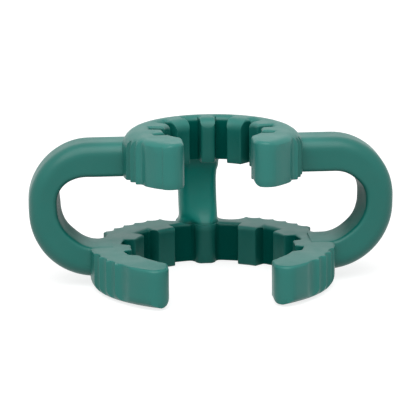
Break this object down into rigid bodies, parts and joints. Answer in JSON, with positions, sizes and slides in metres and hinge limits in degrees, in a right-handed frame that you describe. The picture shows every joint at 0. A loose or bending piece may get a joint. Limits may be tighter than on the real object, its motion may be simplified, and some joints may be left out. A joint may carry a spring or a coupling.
{
  "type": "ground glass joint clip",
  "caption": "Moulded plastic clip with a small jaw over a large jaw, joined by a pillar and finger loops, for a conical ground glass joint.",
  "frame": {"origin": "on the common axis of both jaws, in the plane that the clip stands on, which is the rounded underside of the large jaw", "axes": "+Z along the jaw axis from the large jaw to the small jaw, X along the finger loops, the mouths of both jaws face -Y and the pillar stands at +Y"},
  "size_m": [0.0646, 0.0393, 0.0282],
  "materials": {
    "green_acetal": "moulded acetal, dark teal green, satin gloss"
  },
  "bodies": {
    "root": {"clip_body": "green_acetal"}
  },
  "joints": []
}
